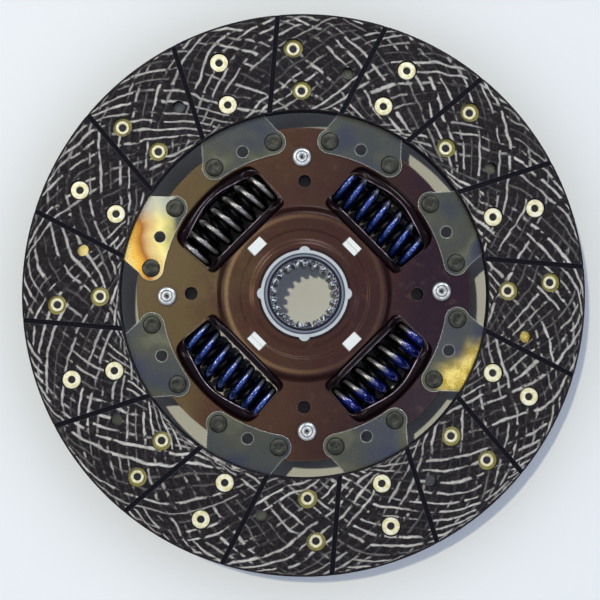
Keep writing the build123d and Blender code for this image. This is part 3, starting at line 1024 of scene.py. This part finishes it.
LOOKS = {
    "hub": (HUB, "hub_steel"),
    "front_hub_bush": (BUSH, "white_plastic"),
    "rear_hub_bush": (BUSH, "white_plastic"),
    "front_friction_washer": (WHITE, "white_plastic"),
    "rear_friction_washer": (WHITE, "white_plastic"),
    "thrust_plate": (WASHER, "washer_steel"),
    "cone_spring": (WASHER, "washer_steel"),
}
for k in range(1, 9):
    LOOKS[f"cushion_plate_{k}"] = (CUSHION, "cushion_steel")
for name, (mat, slot_name) in LOOKS.items():
    node = frame["nodes"][name]
    node.data.materials.clear()
    node.data.materials.append(mat)


# ---------------------------------------------------------------- floor, light and camera


def floor():
    """Pale paper just under the part, 6 m wide."""
    half, z = 3, -0.0002
    corners = [(-half, -half, z), (half, -half, z), (half, half, z), (-half, half, z)]
    me = bpy.data.meshes.new("floor")
    me.from_pydata(corners, [], [(0, 1, 2, 3)])
    obj = bpy.data.objects.new("floor", me)
    bpy.context.collection.objects.link(obj)
    f = Finish("floor_paper", roughness=0.9, specular_ior_level=0.1)
    at = f.place()
    f.set(base_color=f.mix(f.noise(at, 300, 3), rgb(231, 234, 235), rgb(239, 240, 240)))
    me.materials.append(f.mat)


def area(name, spot, aim, size, power, colour, glossy=True, diffuse=True):
    """A round lamp. Without glossy it makes no highlights, without diffuse it makes only those."""
    light = bpy.data.lights.new(name, "AREA")
    light.shape, light.size, light.energy, light.color = "DISK", size, power, colour
    obj = bpy.data.objects.new(name, light)
    obj.location = spot
    obj.rotation_mode = "QUATERNION"
    obj.rotation_quaternion = (Vector(aim) - Vector(spot)).to_track_quat("-Z", "Y")
    obj.visible_glossy, obj.visible_diffuse = glossy, diffuse
    bpy.context.collection.objects.link(obj)


def world():
    """A pale sky, darker overhead and in reflections, and flat where the camera sees it."""
    w = bpy.data.worlds.new("studio")
    bpy.context.scene.world = w
    w.use_nodes = True
    tree = w.node_tree
    split = tree.nodes.new("ShaderNodeSeparateXYZ")
    tree.links.new(tree.nodes.new("ShaderNodeTexCoord").outputs["Generated"], split.inputs[0])
    up = Sock(tree, split.outputs["Z"])
    path = tree.nodes.new("ShaderNodeLightPath").outputs
    shiny, seen = Sock(tree, path["Is Glossy Ray"]), Sock(tree, path["Is Camera Ray"])
    plain = up.step(0.32, 0.62) * (up.step(0.86, 0.98) * -0.78 + 1.0) * 1.24
    mirrored_sky = up.step(0.4, 0.85) * 0.62 + up.step(0.35, 0.0) * 0.25 + 0.05
    lit = plain * (shiny * -1.0 + 1.0) + mirrored_sky * shiny
    back = tree.nodes["Background"]
    back.inputs["Color"].default_value = (0.74, 0.82, 1.0, 1)
    put(tree, back.inputs["Strength"], lit * (seen * -1.0 + 1.0) + seen * 0.9)


def camera():
    """The photo's camera, fitted to the disc's rim, the stop pins and the hub."""
    data = bpy.data.cameras.new("camera")
    cam = bpy.data.objects.new("camera", data)
    bpy.context.collection.objects.link(cam)
    data.sensor_width, data.lens = 36.0, 91.1
    aim = Vector((-2.186, -3.005, 33.0)) * MM
    roll, across, down = math.radians(-1.0), math.radians(-1.22), math.radians(2.18)
    right = Vector((math.cos(roll), math.sin(roll), 0))
    up = Vector((-math.sin(roll), math.cos(roll), 0))
    back = (Vector((0, 0, 1)) + right * math.tan(across) - up * math.tan(down)).normalized()
    right = (right - back * right.dot(back)).normalized()
    up = back.cross(right)
    distance = 0.7
    turn = Matrix((right, up, back)).transposed().to_4x4()
    cam.matrix_world = Matrix.Translation(aim + back * distance) @ turn
    data.clip_end = 20
    bpy.context.scene.camera = cam


floor()
world()
area("key", (-0.29, 0.23, 1.6), (0, 0, 0.02), 0.05, 10.6, (1.0, 0.93, 0.68), glossy=False)

# The rest make highlights only.
HIGHLIGHTS = [
    ("glow_left", (-0.165, 0.08, 1.1), (-0.03, 0.015, 0.03), 0.11, 0.10, (1.0, 0.92, 0.74)),
    ("glow_right", (0.18, -0.085, 1.1), (0.03, -0.015, 0.03), 0.09, 0.09, (1.0, 0.94, 0.8)),
    ("kick", (-0.42, 0.42, 0.95), (0, 0, 0.02), 0.2, 1.6, (1, 1, 1)),
    ("kick_right", (0.70, 0.74, 0.66), (0, 0, 0.02), 0.3, 3.2, (0.94, 0.96, 1.0)),
    ("top", (0.15, 0.62, 0.95), (0, 0, 0.03), 0.35, 2.4, (0.86, 0.92, 1.0)),
    ("side_left", (-0.62, 0.05, 0.9), (0, 0, 0.03), 0.25, 1.4, (1.0, 0.84, 0.6)),
    ("side_right", (0.62, -0.1, 0.9), (0, 0, 0.03), 0.25, 0.6, (0.8, 0.74, 1.0)),
]
for name, spot, aim, size, power, colour in HIGHLIGHTS:
    area(name, spot, aim, size, power, colour, diffuse=False)
camera()

bpy.context.scene.view_settings.view_transform = "Standard"
